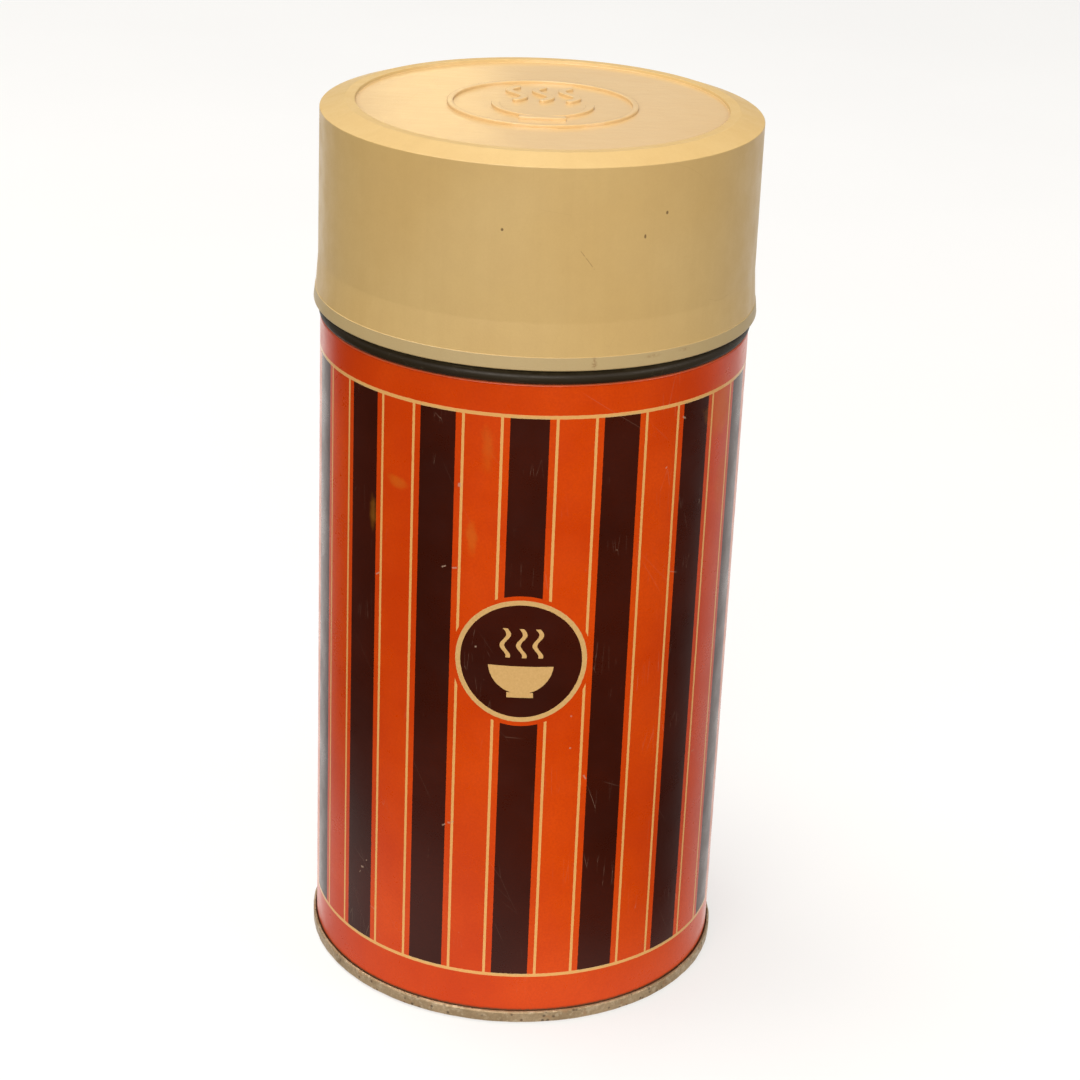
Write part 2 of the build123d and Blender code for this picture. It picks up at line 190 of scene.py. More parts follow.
def printed_steel():
    g = G("printed_steel")
    # Ink edges are not razor sharp on a rolled print: the pattern is read through a very small wobble.
    wob = (g.noise(1.6, 2) - 0.5) * 0.09
    wob2 = (g.noise(1.3, 2, vec=g.vscale(g.P, 1.0, 1.0, 1.3)) - 0.5) * 0.09
    th = g.m("ARCTAN2", g.x, -g.y) * (180 / math.pi)
    z = g.z + wob2

    # Plain upright stripes, fifteen round the jacket: a broad dark band with a cream pin line at each side, between two cream hoops.
    step, h, low, high = 24.0, 0.275, 11.0, 132.5
    k = (th * (1 / step) + 0.5).floor()
    s = (th - k * step).abs() * DEG + wob       # from the band's centre line
    body = z.gt(low) * z.lt(high)
    brown = s.lt(3.7) * body
    line = (s - 5.2).abs().lt(h) * body
    line = line.max((z - low).abs().lt(h * 1.3)).max((z - high).abs().lt(h * 1.3))

    # Round plate on the front: a plain bowl under three lines of steam.
    px = th * DEG + wob
    pz = z - 82.0
    rad = (px * px + pz * pz).sqrt()
    plate = rad.lt(13.0)
    clear = rad.lt(13.9)
    rimline = plate * rad.gt(12.0)
    icon = (px * px + (pz + 0.5) * (pz + 0.5)).sqrt().lt(6.4) * pz.lt(-1.0)
    icon = icon.max(px.abs().lt(2.6) * (pz + 7.2).abs().lt(0.55))
    for x0 in (-3.2, 0.0, 3.2):
        sway = (pz * (2 * math.pi / 4.6)).sin() * 0.62
        icon = icon.max((px - sway - x0).abs().lt(0.46) * pz.gt(0.8) * pz.lt(7.0))

    brown = (brown * (1.0 - clear)).max(plate)
    line = (line * (1.0 - clear)).max(rimline).max(icon)

    # Colours, each with its own slow variation in ink density.
    tone = g.noise(0.035, 3, 0.55, lo=0.30, hi=0.70)
    fine = g.noise(2.2, 3, 0.6, lo=0.25, hi=0.75)
    orange = g.mix(tone, srgb(203, 61, 2), srgb(220, 76, 6))
    orange = g.mix(fine * 0.35, orange, srgb(186, 50, 1))
    brown_c = g.mix(tone, srgb(54, 14, 3), srgb(68, 20, 6))
    brown_c = g.mix(fine * 0.4, brown_c, srgb(46, 11, 3))
    cream_c = g.mix(fine * 0.5, srgb(218, 178, 118), srgb(198, 154, 90))
    # Where cream is printed over orange it glows warmer.
    cream_c = g.mix((1.0 - brown) * 0.5, cream_c, srgb(240, 168, 88))
    col = g.mix(brown, orange, brown_c)
    col = g.mix(line, col, cream_c)

    # Amber discolouration in a few patches.
    def blob(t0, z0, rx, rz, gain=1.0):
        ex = (th - t0) * (DEG / rx)
        ez = (g.z - z0) * (1.0 / rz)
        dd = (ex * ex + ez * ez).sqrt() + (g.noise(0.35, 4, 0.6) - 0.5) * 1.5
        return g.ramp(dd, 1.1, 0.25) * gain

    stain = blob(-35.5, 115.3, 3.0, 1.6, 0.75).max(blob(-10.5, 126.0, 1.6, 6.0, 0.55)).max(blob(59.0, 128.0, 5.5, 7.0, 0.85)).max(blob(63.0, 112.0, 3.5, 8.0, 0.4))
    stain = stain.max(blob(-44.2, 107.0, 1.2, 4.0, 0.7)).max(blob(-14.0, 107.0, 1.2, 4.5, 0.7)).max(blob(160.0, 90.0, 6.0, 9.0, 0.5)).max(blob(120.0, 40.0, 9.0, 4.0, 0.4))
    col = g.mix(stain * 0.45, col, g.mix(0.4, col, srgb(206, 120, 18)))
    col = g.mix(stain * 0.14, col, srgb(206, 150, 40))

    # Flecks and hairline scratches through the ink.
    speck = g.ramp(g.voronoi(0.16), 0.045, 0.02) * g.noise(0.06, 2, lo=0.52, hi=0.62)
    turn = g.vec(th * 0.9, g.z * 0.10 + th * 0.05, 0.0)
    hair = g.ramp(g.voronoi(0.42, vec=turn, feature="DISTANCE_TO_EDGE"), 0.006, 0.001) * g.noise(0.11, 3, lo=0.60, hi=0.68)
    hair2 = g.ramp(g.voronoi(0.10, vec=g.vec(th * 0.6 + g.z * 0.5, g.z * 0.2, 3.0), feature="DISTANCE_TO_EDGE"), 0.0022, 0.0006) * g.noise(0.05, 2, lo=0.56, hi=0.64)
    flecks = (speck * 0.7).max(hair * 0.45).max(hair2 * 0.22)

    def fleck(t0, z0, length, width, angle):
        a = math.radians(angle)
        ex, ez = (th - t0) * DEG, g.z - z0
        along = ex * math.cos(a) + ez * math.sin(a)
        across = ez * math.cos(a) - ex * math.sin(a)
        grain = (g.noise(3.0, 2) - 0.5) * 0.5
        return g.ramp((along * (1.0 / length)).abs().max((across * (1.0 / width)).abs()) + grain, 1.1, 0.7)

    for args in ((-18.3, 100.4, 0.55, 0.18, 10), (-21.3, 100.3, 0.5, 0.15, 25), (-17.6, 117.6, 0.32, 0.45, 0), (-42.1, 94.7, 0.6, 0.16, 35),
                 (-46.6, 27.3, 0.45, 0.22, 15), (-19.4, 44.1, 0.4, 0.16, 35), (-17.9, 44.8, 0.35, 0.2, 0), (-16.9, 45.1, 0.3, 0.12, 30),
                 (43.2, 129.4, 0.5, 0.2, -35), (18.4, 56.2, 0.6, 0.18, -60), (-47.6, 25.9, 0.3, 0.12, 60), (-12.0, 84.5, 0.2, 0.2, 0),
                 (14.0, 63.0, 0.22, 0.16, 0), (38.0, 120.0, 0.25, 0.14, 40), (-44.9, 29.4, 0.25, 0.1, 20)):
        flecks = flecks.max(fleck(*args) * 0.7)
    col = g.mix(flecks * 0.75, col, srgb(190, 160, 138))

    # Rubbed steel shows on the very edges: the rolled top, the foot and along the lock seam.
    edge_noise = (g.noise(0.9, 4, 0.65) - 0.5) * 1.1
    foot_wear = g.ramp(g.z + edge_noise * 0.5, 2.95, 2.6)
    top_wear = g.ramp(g.z + edge_noise * 0.3, 138.6, 138.8) * 0.4
    back = (180.0 - th.abs()) * DEG
    seam_edge = g.ramp((back - 1.7).abs() + edge_noise * 0.25, 0.30, 0.05) * 0.65
    seam_line = g.ramp((g.x - 2.05).abs(), 0.34, 0.22) * g.y.gt(0.0)
    wear = foot_wear.max(top_wear).max(seam_edge)
    col = g.mix(wear, col, srgb(150, 122, 92))
    # Painted shade: a dark brown band along the foot, just above the rim, stands for the shadow in the gap between
    # jacket and rim.
    col = g.mix(g.ramp(g.z + edge_noise * 0.4, 3.3, 2.7) * 0.5, col, srgb(96, 40, 16))
    col = g.mix(seam_line * 0.6, col, srgb(60, 26, 12))

    r_noise = g.noise(0.12, 4, 0.6, lo=0.25, hi=0.75)
    rough = r_noise * 0.10 + 0.24 + flecks * 0.25 + fine * 0.04 + stain * 0.08
    peel = g.noise(1.1, 2, 0.5)
    ink = line * 0.35 + brown * 0.2
    n1 = g.bump(peel, 0.02, 0.55)
    n2 = g.bump(ink - flecks * 0.8, 0.02, 0.6, n1)
    dent = g.noise(0.022, 2, 0.4)
    n3 = g.bump(dent, 0.6, 0.35, n2)
    return g.set(color=col, rough=rough, normal=n3, metal=wear * 0.6, ior=1.48, spec=0.38, coat=0.0)


def moulded(name, base, warm, dark, rough=0.36, grain=1.0, speck_col=None, special=None, sss=0.0, blotch=0.10, spec=0.5):
    """Old moulded plastic: slow yellowing, faint rubbed polish, hairlines."""
    g = G(name)
    slow = g.noise(0.03, 3, 0.5, lo=0.3, hi=0.7)
    mid = g.noise(0.22, 4, 0.6, lo=0.3, hi=0.7)
    fine = g.noise(2.6, 3, 0.6, lo=0.25, hi=0.75)
    col = g.mix(slow * 0.6, base, warm)
    col = g.mix(mid * blotch, col, dark)
    col = g.mix(fine * 0.08, col, dark)
    hair = g.ramp(g.voronoi(0.13, vec=g.vscale(g.P, 1.0, 1.3, 0.35), feature="DISTANCE_TO_EDGE"), 0.0016, 0.0004) * g.noise(0.08, 2, lo=0.55, hi=0.65)
    speck = g.ramp(g.voronoi(0.20), 0.035, 0.018) * g.noise(0.09, 2, lo=0.54, hi=0.62)
    col = g.mix(hair * 0.35, col, dark)
    if speck_col is not None:
        col = g.mix(speck * 0.8, col, speck_col)
    r = mid * 0.10 + fine * 0.05 + hair * 0.2 + rough
    height = fine * 0.35 + mid * 0.5 - speck * 0.6 - hair * 0.8
    if special is not None:
        col, r, height = special(g, col, r, height)
    n = g.bump(height, 0.03 * grain, 0.5)
    n = g.bump(g.noise(0.05, 2, 0.4), 0.35, 0.3, n)
    return g.set(color=col, rough=r, normal=n, ior=1.49, spec=spec, sss=sss)


def cup_details(g, col, r, height):
    rr = (g.x * g.x + g.y * g.y).sqrt()
    th = g.m("ARCTAN2", g.x, -g.y) * (180 / math.pi)
    CR = 43.3 * math.pi / 180
    # The recessed disc is glossier and paler; the lip band is greyer.
    disc = g.ramp(rr, 36.3, 36.0) * g.z.gt(180.0)
    band = g.ramp(g.z + (g.noise(0.5, 3) - 0.5) * 0.12, 144.56, 144.50) * rr.gt(41.5)
    col = g.mix(disc * 0.35, col, srgb(226, 190, 146))
    # Painted reflection: darker tan streaks across the disc stand for the streaky mirror reflections in its glossy
    # face.
    streak_reflection = g.noise(1.0, 4, 0.6, vec=g.vscale(g.P, 0.12, 0.9, 1.0), lo=0.3, hi=0.7)
    col = g.mix(disc * streak_reflection * 0.30, col, srgb(206, 168, 112))
    col = g.mix(band * 0.85, col, srgb(178, 158, 116))
    # Faint upright streaks on the side, a few dark pits, one fine scratch and a rust-coloured stain at the lip.
    up = g.noise(0.30, 4, 0.6, vec=g.vec(th * 1.0, g.z * 0.03, 0.0), lo=0.35, hi=0.75) * (1.0 - disc)
    col = g.mix(up * 0.07, col, srgb(176, 142, 86))

    def at(t0, z0, rx, rz, soft=0.3):
        ex, ez = (th - t0) * (CR / rx), (g.z - z0) * (1.0 / rz)
        return g.ramp((ex * ex + ez * ez).sqrt() + (g.noise(1.5, 3) - 0.5) * 0.6, 1.0 + soft, 1.0 - soft)

    pits = at(-8.6, 168.3, 0.24, 0.28)
    for t0, z0, a, b2 in CUP_PITS:
        pits = pits.max(at(t0, z0, a, b2))
    col = g.mix(pits * 0.8, col, srgb(92, 66, 36))
    t1, z1, t2, z2 = CUP_SCRATCH
    sx, sz = (t2 - t1) * CR, z2 - z1
    ln = math.hypot(sx, sz)
    ex, ez = (th - t1) * CR, g.z - z1
    along = ex * (sx / ln) + ez * (sz / ln)
    across = (ez * (sx / ln) - ex * (sz / ln)).abs()
    scratch = across.lt(0.09) * along.gt(0.0) * along.lt(ln) * g.noise(0.9, 2, lo=0.42, hi=0.55)
    col = g.mix(scratch * 0.45, col, srgb(140, 104, 58))
    smudge = g.noise(1.6, 4, 0.7, lo=0.40, hi=0.62)
    stain = at(*CUP_STAIN, soft=0.7).max(at(30.5, 143.8, 1.3, 0.3, 0.8) * 0.5).max(at(40.0, 143.9, 1.1, 0.3, 0.8) * 0.5) * smudge
    col = g.mix(stain * 0.7, col, srgb(128, 84, 34))
    # Painted shade: the disc darkens towards the step round its edge, standing for the shadow in that corner.
    step_shade = g.ramp(rr, 35.2, 36.1) * disc
    col = g.mix(step_shade * 0.35, col, srgb(190, 150, 96))
    r = r * (1.0 - disc * 0.66) + band * 0.04
    ripple = g.noise(0.55, 4, 0.65)
    height = height + disc * ripple * 1.9 - pits * 1.5 - scratch * 0.8 + up * 0.12
    return col, r, height


CUP_PITS = [(32.9, 170.9, 0.26, 0.34), (27.0, 166.9, 0.22, 0.42), (-140.0, 160.0, 0.3, 0.3), (118.0, 152.0, 0.35, 0.25)]
CUP_SCRATCH = (14.15, 161.3, 10.25, 165.1)
CUP_STAIN = (15.0, 143.4, 0.45, 0.9)


def collar_details(g, col, r, height):
    scuff = g.ramp(g.voronoi(0.30, vec=g.vscale(g.P, 1.0, 1.0, 2.2), feature="DISTANCE_TO_EDGE"), 0.012, 0.002) * g.noise(0.16, 3, lo=0.54, hi=0.64)
    # A paler band along the flange's rounded top: partly rubbed wear, partly a painted highlight where the bead catches
    # the overhead light.
    rubbed_top_and_highlight = g.ramp(g.z + (g.noise(0.7, 4) - 0.5) * 0.5, 140.9, 141.3) * g.ramp(g.z, 142.2, 141.3)
    col = g.mix(scuff * 0.6, col, srgb(120, 112, 88))
    col = g.mix(rubbed_top_and_highlight * 0.35, col, srgb(92, 84, 62))
    chips = g.ramp(g.voronoi(0.22), 0.10, 0.05) * g.noise(0.10, 2, lo=0.56, hi=0.62)
    col = g.mix(chips * 0.7, col, srgb(128, 118, 92))
    return col, r + scuff * 0.2, height - scuff * 1.0 - chips * 1.2


def rim_steel():
    g = G("rim_steel")
    slow = g.noise(0.12, 4, 0.6, lo=0.3, hi=0.7)
    fine = g.noise(1.8, 5, 0.7, lo=0.3, hi=0.7)
    pits = g.ramp(g.voronoi(0.75), 0.34, 0.14) * g.noise(0.30, 3, lo=0.42, hi=0.56)
    rust = g.noise(0.30, 5, 0.7, lo=0.54, hi=0.68)
    rr = (g.x * g.x + g.y * g.y).sqrt()
    brushed = g.noise(1.0, 4, 0.6, vec=g.vec(rr * 6.0, g.m("ARCTAN2", g.x, g.y) * 3.0, g.z * 4.0))
    col = g.mix(slow, srgb(190, 164, 130), srgb(158, 132, 98))
    col = g.mix(fine * 0.45, col, srgb(136, 118, 90))
    bright = g.noise(0.8, 4, 0.6, lo=0.50, hi=0.66)
    col = g.mix(bright * 0.40, col, srgb(222, 204, 174))
    col = g.mix(pits * 0.85, col, srgb(78, 62, 44))
    col = g.mix(rust * 0.5, col, srgb(140, 92, 50))
    # Painted shade: dark brown on the rim's inner shoulder, against the jacket, stands for the shadow in the gap
    # between them.
    gap_shade = g.ramp(rr + (fine - 0.5) * 0.2, 43.12, 42.95) * g.z.gt(1.9) * rr.gt(42.4)
    col = g.mix(gap_shade * 0.75, col, srgb(96, 44, 22))
    rough = fine * 0.22 + pits * 0.25 + rust * 0.25 + 0.34
    n = g.bump(fine - pits * 1.4 + rust * 0.4, 0.06, 0.7)
    n = g.bump(brushed, 0.02, 0.35, n)
    return g.set(color=col, rough=rough, normal=n, metal=0.55 - (pits.max(rust)) * 0.4)


def rubber(name, base):
    g = G(name)
    fine = g.noise(3.0, 4, 0.6, lo=0.3, hi=0.7)
    slow = g.noise(0.1, 3, 0.5, lo=0.3, hi=0.7)
    bloom = g.noise(0.25, 4, 0.65, lo=0.5, hi=0.7)
    col = g.mix(slow * 0.7, base, srgb(46, 42, 38))
    col = g.mix(bloom * 0.3, col, srgb(98, 92, 84))
    col = g.mix(fine * 0.3, col, srgb(24, 22, 20))
    return g.set(color=col, rough=fine * 0.15 + 0.68, normal=g.bump(fine + slow, 0.05, 0.5), ior=1.52)


def foam():
    g = G("foam")
    cells = g.voronoi(1.6)
    slow = g.noise(0.12, 3, lo=0.3, hi=0.7)
    col = g.mix(slow * 0.6, srgb(236, 232, 218), srgb(220, 206, 170))
    col = g.mix(g.ramp(cells, 0.1, 0.6) * 0.3, col, srgb(196, 186, 158))
    return g.set(color=col, rough=g.ramp(cells, 0.0, 0.6, 0.75, 0.95), normal=g.bump(cells, 0.25, 0.7))


def board():
    g = G("spacer_board")
    fibre = g.noise(1.6, 5, 0.7, vec=g.vscale(g.P, 1.0, 1.0, 0.25), lo=0.3, hi=0.7)
    slow = g.noise(0.4, 3, lo=0.3, hi=0.7)
    col = g.mix(fibre, srgb(196, 186, 162), srgb(164, 150, 124))
    col = g.mix(slow * 0.4, col, srgb(140, 118, 88))
    return g.set(color=col, rough=fibre * 0.1 + 0.82, normal=g.bump(fibre, 0.12, 0.6))


def silvered(name, tint):
    """Blown glass silvered behind: a mirror seen through glass that is very slightly uneven, with a bare ring near the lip."""
    g = G(name)
    swirl = g.noise(0.035, 3, 0.5, distortion=1.2)
    haze = g.noise(0.15, 4, 0.6, lo=0.45, hi=0.75)
    spots = g.ramp(g.voronoi(0.12), 0.05, 0.02) * g.noise(0.07, 2, lo=0.5, hi=0.6)
    col = g.mix(haze * 0.5, tint, srgb(198, 196, 186))
    col = g.mix(spots * 0.7, col, srgb(120, 104, 80))
    lip = g.ramp(g.z + (g.noise(0.4, 3) - 0.5) * 2.0, 130.0, 131.5)
    col = g.mix(lip * 0.6, col, srgb(196, 206, 200))
    rough = haze * 0.10 + 0.04 + spots * 0.2 + lip * 0.08
    n = g.bump(swirl, 1.0, 0.35)
    n = g.bump(g.noise(0.5, 2), 0.02, 0.2, n)
    return g.set(color=col, rough=rough, normal=n, metal=g.ramp(lip, 0.0, 1.0, 0.92, 0.15), coat=0.8, coat_rough=0.04)


# ------------------------------------------------------------------ geometry helpers


def outline(points, arc_step=12.0, dense=()):
    """Samples a closed (r, z) outline whose points may carry a corner radius. dense holds (r_lo, r_hi, z_lo, z_hi, step) boxes in which straight runs are cut finely."""
    n = len(points)
    pts = [(p[0], p[1]) for p in points]
    rad = [p[2] if len(p) > 2 else 0.0 for p in points]
    out = []
    for i in range(n):
        p, a, b = pts[i], pts[i - 1], pts[(i + 1) % n]
        if rad[i] <= 0:
            out.append(p)
            continue
        ua = Vector((a[0] - p[0], a[1] - p[1])).normalized()
        ub = Vector((b[0] - p[0], b[1] - p[1])).normalized()
        half = math.acos(max(-1, min(1, ua.dot(ub)))) / 2
        t = rad[i] / math.tan(half)
        bis = (ua + ub).normalized()
        c = Vector(p) + bis * (rad[i] / math.sin(half))
        s, e = Vector(p) + ua * t, Vector(p) + ub * t
        a0 = math.atan2(s.y - c.y, s.x - c.x)
        a1 = math.atan2(e.y - c.y, e.x - c.x)
        d = (a1 - a0 + math.pi) % (2 * math.pi) - math.pi
        k = max(2, int(abs(math.degrees(d)) / arc_step + 0.999))
        for j in range(k + 1):
            w = a0 + d * j / k
            out.append((c.x + rad[i] * math.cos(w), c.y + rad[i] * math.sin(w)))
    final = []
    m = len(out)
    for i in range(m):
        p, q = out[i], out[(i + 1) % m]
        final.append(p)
        if math.dist(p, q) < 1e-7:
            final.pop()
            continue
        for (r0, r1, z0, z1, step) in dense:
            if r0 <= min(p[0], q[0]) and max(p[0], q[0]) <= r1 and min(p[1], q[1]) < z1 and max(p[1], q[1]) > z0:
                ln = math.dist(p, q)
                k = int(ln / step)
                for j in range(1, k):
                    f = j / k
                    zz = p[1] + (q[1] - p[1]) * f
                    final.append((p[0] + (q[0] - p[0]) * f, zz))
                break
    return final


def lathe(name, prof, segs, shift=None):
    """Turns a closed outline about Z. shift(theta, r, z) gives a changed radius. Points on the axis become one pole."""
    verts, rings = [], []
    for (r, z) in prof:
        if r < 1e-6:
            verts.append((0.0, 0.0, z * MM))
            rings.append([len(verts) - 1])
            continue
        ring = []
        for j in range(segs):
            a = 2 * math.pi * j / segs
            rr = r if shift is None else shift(a, r, z)
            verts.append((rr * math.sin(a) * MM, -rr * math.cos(a) * MM, z * MM))
            ring.append(len(verts) - 1)
        rings.append(ring)
    faces = []
    m = len(rings)
    for i in range(m):
        a, b = rings[i], rings[(i + 1) % m]
        if len(a) == 1 and len(b) == 1:
            continue
        for j in range(segs):
            k = (j + 1) % segs
            if len(a) == 1:
                faces.append((a[0], b[k], b[j]))
            elif len(b) == 1:
                faces.append((a[j], a[k], b[0]))
            else:
                faces.append((a[j], a[k], b[k], b[j]))
    me = bpy.data.meshes.new(name)
    me.from_pydata(verts, [], faces)
    me.validate()
    me.update()
    o = bpy.data.objects.new(name, me)
    bpy.context.scene.collection.objects.link(o)
    return o


def face_out(o):
    import bmesh
    bm = bmesh.new()
    bm.from_mesh(o.data)
    bmesh.ops.recalc_face_normals(bm, faces=bm.faces)
    bm.to_mesh(o.data)
    bm.free()


def smooth(o, angle=38.0):
    face_out(o)
    o.data.polygons.foreach_set("use_smooth", [True] * len(o.data.polygons))
    o.data.set_sharp_from_angle(angle=math.radians(angle))
    w = o.modifiers.new("weighted", "WEIGHTED_NORMAL")
    w.keep_sharp = True
    w.weight = 60


def ridge_field(z_start, pitch, turns, start_deg, height, base_half, crest_half, fade=14.0):
    """Height of a helical thread ridge at (angle from +X in radians, z), with its ends faded out."""
    total = turns * 360.0

    def f(phi_deg, z):
        best = 0.0
        base = (phi_deg - start_deg) % 360.0
        for k in (-1, 0, 1, 2, 3):
            phi = base + 360.0 * k
            if phi < -0.001 or phi > total + 0.001:
                continue
            zc = z_start + pitch * phi / 360.0
            d = abs(z - zc)
            if d > base_half:
                continue
            hgt = min(1.0, (base_half - d) / (base_half - crest_half))
            hgt = hgt * hgt * (3 - 2 * hgt)
            e = min(1.0, phi / fade, (total - phi) / fade)
            e = e * e * (3 - 2 * e) if e > 0 else 0.0
            best = max(best, hgt * e)
        return best * height
    return f


def paint(o, mat):
    o.data.materials.clear()
    o.data.materials.append(mat)

# ------------------------------------------------------------------ pieces

MAT = {
    "printed_steel": printed_steel(),
    "rim_steel": rim_steel(),
    "cream_plastic": moulded("cream_plastic", srgb(208, 178, 120), srgb(200, 166, 104), srgb(176, 140, 84), 0.36, special=cup_details),
    "liner_plastic": moulded("liner_plastic", srgb(232, 222, 196), srgb(226, 208, 168), srgb(200, 178, 136), 0.24, 0.6, srgb(150, 110, 70)),
    "dark_plastic": moulded("dark_plastic", srgb(36, 27, 10), srgb(46, 35, 14), srgb(18, 14, 8), 0.44, 0.8, special=collar_details, spec=0.36),
    "stopper_plastic": moulded("stopper_plastic", srgb(222, 206, 166), srgb(214, 192, 144), srgb(184, 156, 108), 0.38, 1.0, srgb(120, 84, 50)),
    "rubber": rubber("rubber", srgb(58, 54, 50)),
    "foam": foam(),
    "spacer_board": board(),
    "clear_glass": silvered("clear_glass", srgb(224, 228, 226)),
    "silvered_glass": silvered("silvered_glass", srgb(232, 234, 236)),
}

SEG = 720


def seam_shift(a, r, z):
    """Lock seam at the back of the jacket: a folded strip a quarter of a millimetre proud, with its fold line beside it."""
    if r < 42.0 or z < 3.1 or z > 138.75:
        return r
    x = r * math.sin(a)
    if math.cos(a) > 0:
        return r
    def step(v, lo, hi):
        t = max(0.0, min(1.0, (v - lo) / (hi - lo)))
        return t * t * (3 - 2 * t)
    up = step(x, -2.0, -1.4) * (1 - step(x, 1.45, 1.85))
    groove = step(x, 1.75, 1.95) * (1 - step(x, 2.15, 2.45))
    ends = step(z, 3.2, 3.9) * (1 - step(z, 137.9, 138.6))
    return r + (0.25 * up - 0.28 * groove) * ends


jacket = lathe("jacket", outline([
    (42.35, 138.45), (41.30, 138.45), (41.30, 138.85), (42.75, 138.85, 0.35),
    (42.75, 138.60), (42.75, 137.85), (42.75, 71.0), (42.75, 3.9), (42.75, 3.2),
    (42.75, 0.95, 0.10), (43.10, 0.95), (43.10, 0.45), (42.35, 0.45, 0.25),
], 15), SEG * 2, seam_shift)
smooth(jacket)
paint(jacket, MAT["printed_steel"])
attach(jacket, "flask")
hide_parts("case_tube")

PZ, PT = 3.20, 0.30


def rim_wobble(a, r, z):
    """The seamed rim was rolled by machine, so it carries very slight flats."""
    if r < 42.6:
        return r
    return r + 0.035 * math.sin(23 * a + 0.7) * math.sin(7 * a) + 0.02 * math.sin(61 * a)


base_end = lathe("base_end", outline([
    (0, PZ - PT), (12.0, PZ - PT, 0.4), (12.6, PZ - PT - 0.6, 0.3),
    (17.4, PZ - PT - 0.6, 0.3), (18.0, PZ - PT, 0.4),
    (31.0, PZ - PT, 0.4), (31.7, PZ - PT - 0.9, 0.4), (36.3, PZ - PT - 0.9, 0.4), (37.0, PZ - PT, 0.4),
    (41.45, PZ - PT, 0.35), (41.60, 0.0, 0.5), (43.50, 0.0, 0.55), (43.50, 2.60, 0.45), (42.85, 2.60, 0.12),
    (43.15, 2.10, 0.2), (43.20, 0.35, 0.15), (41.95, 0.35, 0.15), (41.80, PZ, 0.3),
    (37.3, PZ, 0.4), (36.6, PZ - 0.9, 0.4), (31.4, PZ - 0.9, 0.4), (30.7, PZ, 0.4),
    (18.3, PZ, 0.4), (17.7, PZ - 0.6, 0.3), (12.3, PZ - 0.6, 0.3), (11.7, PZ, 0.4), (0, PZ),
], 12), SEG, rim_wobble)
smooth(base_end)
paint(base_end, MAT["rim_steel"])
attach(base_end, "flask")
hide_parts("base_cap")

# Collar with its two threads.
neck_ridge = ridge_field(146.60, 6.0, 1.10, 0.0, 1.50, 1.30, 0.45)
bore_ridge = ridge_field(144.60, 6.3, 1.25, 20.0, 1.20, 1.15, 0.45)


def collar_shift(a, r, z):
    phi = math.degrees(a) - 90.0
    if abs(r - 38.2) < 0.02 and z > 141.5:
        return r + neck_ridge(phi, z)
    if abs(r - 35.0) < 0.02 and z > 137.4:
        return r - bore_ridge(phi, z)
    return r


collar = lathe("collar", outline([
    (30.50, 135.0, 0.4), (34.15, 135.0), (34.15, 127.6, 0.3), (36.30, 127.6, 0.5), (36.30, 137.9, 1.0),
    (38.90, 137.9, 1.0), (38.90, 130.0, 0.3), (41.15, 130.0, 0.6), (41.15, 138.90),
    (43.05, 138.90, 0.9), (43.05, 141.25, 1.1), (38.20, 141.25, 0.8),
    (38.20, 155.50, 0.8), (35.0, 155.50, 0.6), (35.0, 137.0, 0.5), (30.50, 137.0, 0.4),
], 10, dense=((38.1, 38.3, 143.0, 155.0, 0.16), (34.9, 35.1, 137.4, 155.0, 0.16))), SEG, collar_shift)
smooth(collar, 60)
paint(collar, MAT["dark_plastic"])
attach(collar, "flask")
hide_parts("neck_collar")

# Glass: inner vessel and outer jacket.
glass_in = lathe("vessel", outline([
    (0, 17.0), (30.5, 17.0, 11.0), (30.5, 117.8, 5.0), (28.5, 124.6, 5.0), (28.5, 132.95, 1.4),
    (33.0, 132.95, 1.4), (33.0, 131.42), (30.0, 131.42), (30.0, 125.0, 4.0),
    (32.0, 118.2, 4.0), (32.0, 15.5, 12.5), (0, 15.5),
], 6), SEG // 2)
smooth(glass_in)
paint(glass_in, MAT["silvered_glass"])
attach(glass_in, "flask")
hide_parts("inner_glass")

glass_out = lathe("vacuum_jacket", outline([
    (0, 5.60), (1.30, 6.00, 0.4), (2.40, 10.0, 0.8), (37.0, 10.0, 16.0),
    (37.0, 117.5, 6.0), (33.0, 125.0, 5.0), (33.0, 131.40),
    (31.5, 131.40), (31.5, 124.6, 4.0), (35.5, 117.1, 5.0), (35.5, 11.5, 14.5),
    (0, 11.5),
], 6), SEG // 2)
smooth(glass_out)
paint(glass_out, MAT["clear_glass"])
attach(glass_out, "flask")
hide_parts("outer_glass")

seal = lathe("lip_seal", outline([(29.2, 133.0, 0.3), (33.9, 133.0, 0.3), (33.9, 134.97, 0.3), (29.2, 134.97, 0.5)], 12), SEG // 2)
smooth(seal)
paint(seal, MAT["rubber"])
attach(seal, "flask")
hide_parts("filler_seal")

gasket = lathe("gasket", outline([(29.62, 137.05, 0.35), (33.10, 137.05, 0.5), (33.10, 139.0, 0.5), (29.62, 139.0, 0.35)], 12), SEG // 2)
smooth(gasket)
paint(gasket, MAT["rubber"])
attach(gasket, "stopper_lift")
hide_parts("stopper_gasket")

core = lathe("stopper_foam", outline([(0, 140.30), (31.1, 140.30), (31.1, 144.95, 0.85), (0, 144.95)], 12), SEG // 2)
smooth(core)
paint(core, MAT["foam"])
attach(core, "stopper")
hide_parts("stopper_core")

plate = lathe("stopper_underside", outline([
    (0, 138.10), (10.0, 138.10, 2.0), (13.0, 137.10, 2.0), (29.55, 137.10, 0.4), (29.55, 139.05), (31.15, 139.05), (31.15, 140.25), (0, 140.25),
], 12), SEG // 2)
smooth(plate)
paint(plate, MAT["stopper_plastic"])
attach(plate, "stopper")
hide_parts("stopper_plate")

# Cup and its liner.
cup_ridge = ridge_field(146.60 - 1.75, 6.0, 1.05, 0.0, 1.70, 1.30, 0.45)


